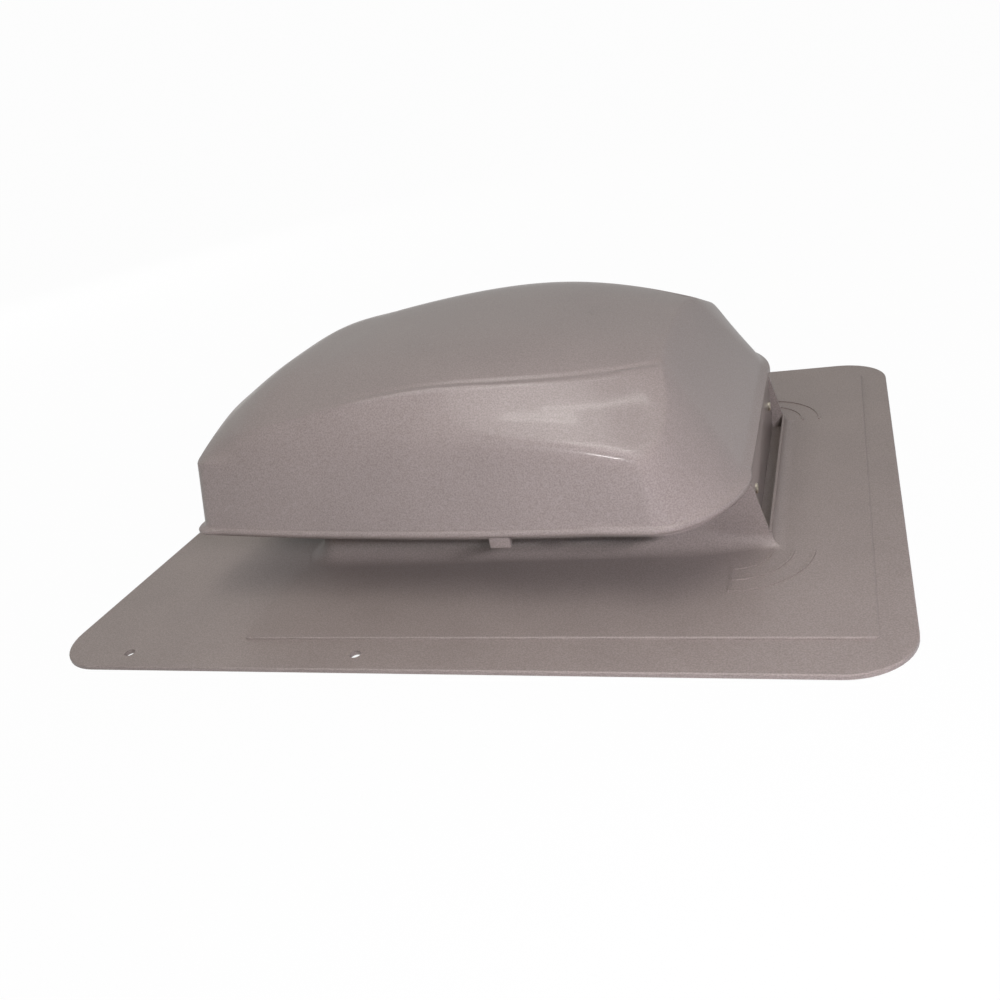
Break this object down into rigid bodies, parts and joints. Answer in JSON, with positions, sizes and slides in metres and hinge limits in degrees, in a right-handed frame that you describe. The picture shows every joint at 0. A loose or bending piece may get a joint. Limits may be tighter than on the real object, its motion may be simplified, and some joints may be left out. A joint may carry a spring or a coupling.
{
  "type": "static roof vent",
  "caption": "Low static roof vent in moulded plastic: nailing flange, throat riser and a domed hood with a slanted back.",
  "frame": {"origin": "middle of the flange underside, on the plane of the roof deck", "axes": "+X up the roof slope towards the slanted back, -X towards the open front of the hood, +Z away from the roof deck"},
  "size_m": [0.48, 0.409, 0.1294],
  "materials": {
    "base_plastic": "warm grey-brown moulded plastic with fine speckle, satin",
    "hood_plastic": "warm grey-brown moulded plastic with fine speckle, soft gloss",
    "screen_plastic": "dark moulded grille, satin",
    "screw_steel": "zinc plated, slightly worn"
  },
  "bodies": {
    "root": {"base_flashing": "base_plastic", "hood": "hood_plastic", "insect_screen": "screen_plastic", "rear_screw_near": "screw_steel", "rear_screw_far": "screw_steel"}
  },
  "joints": []
}
